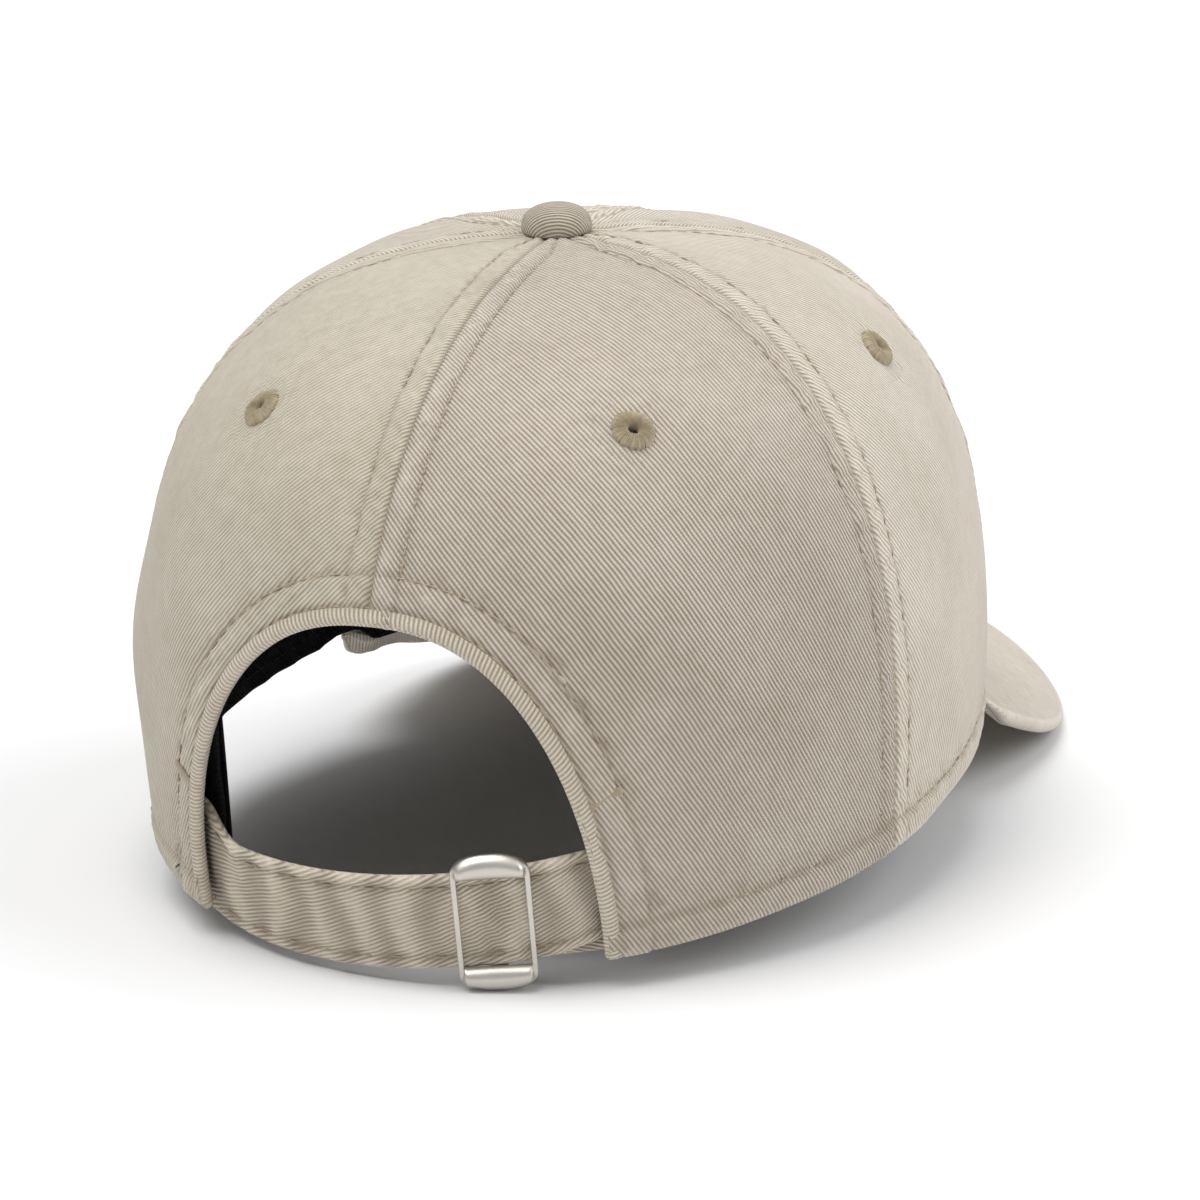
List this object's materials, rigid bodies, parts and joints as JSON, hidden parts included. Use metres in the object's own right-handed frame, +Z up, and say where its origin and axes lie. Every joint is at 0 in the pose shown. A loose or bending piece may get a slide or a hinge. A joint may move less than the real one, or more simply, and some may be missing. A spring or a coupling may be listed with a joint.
{
  "type": "baseball cap",
  "caption": "Washed twill baseball cap with a sewn panel crown, curved visor, arched back opening and a cloth strap closed by a metal slide buckle.",
  "frame": {"origin": "centre of the bounding box in X and Y, at the surface the cap rests on", "axes": "-Y is where the visor points, +Y the back opening, -X the wearer's right, +Z up; the cap rests on its visor sides and its buckle, tipped front up by 7.75 degrees"},
  "size_m": [0.1558, 0.2759, 0.124],
  "materials": {
    "twill": "washed cotton twill, matt",
    "lining_black": "black woven cotton, matt",
    "thread": "embroidery thread, low sheen",
    "board": "moulded sheet",
    "nickel": "satin nickel plate"
  },
  "bodies": {
    "crown": {"panel_back_left": "twill", "panel_back_right": "twill", "panel_side_left": "twill", "panel_side_right": "twill", "panel_front_left": "twill", "panel_front_right": "twill", "seam_tape_back": "lining_black", "seam_tape_front": "lining_black", "seam_tape_back_left": "lining_black", "seam_tape_back_right": "lining_black", "seam_tape_front_left": "lining_black", "seam_tape_front_right": "lining_black", "opening_facing": "twill", "eyelet_back_left": "thread", "eyelet_back_right": "thread", "eyelet_side_left": "thread", "eyelet_side_right": "thread", "eyelet_front_left": "thread", "eyelet_front_right": "thread", "button_cover": "twill", "button_core": "nickel", "button_washer": "nickel", "sweatband": "lining_black", "care_label": "lining_black", "visor_top": "twill", "visor_board": "board", "visor_under": "twill", "strap_long": "twill"},
    "short_strap": {"strap_anchor": "twill"},
    "buckle": {"buckle_frame": "nickel"}
  },
  "joints": [
    {"name": "buckle_slide", "type": "hinge", "parent": "crown", "child": "short_strap", "pos_m": [0, 0.07545, 0.02642], "axis": [0.0715, 0.254, 0.9646], "range_deg": [-12, 6]},
    {"name": "buckle_tilt", "type": "hinge", "parent": "short_strap", "child": "buckle", "pos_m": [-0.01924, 0.12853, 0.01335], "axis": [0.0304, 0.2404, 0.9702], "range_deg": [-3, 3]}
  ]
}
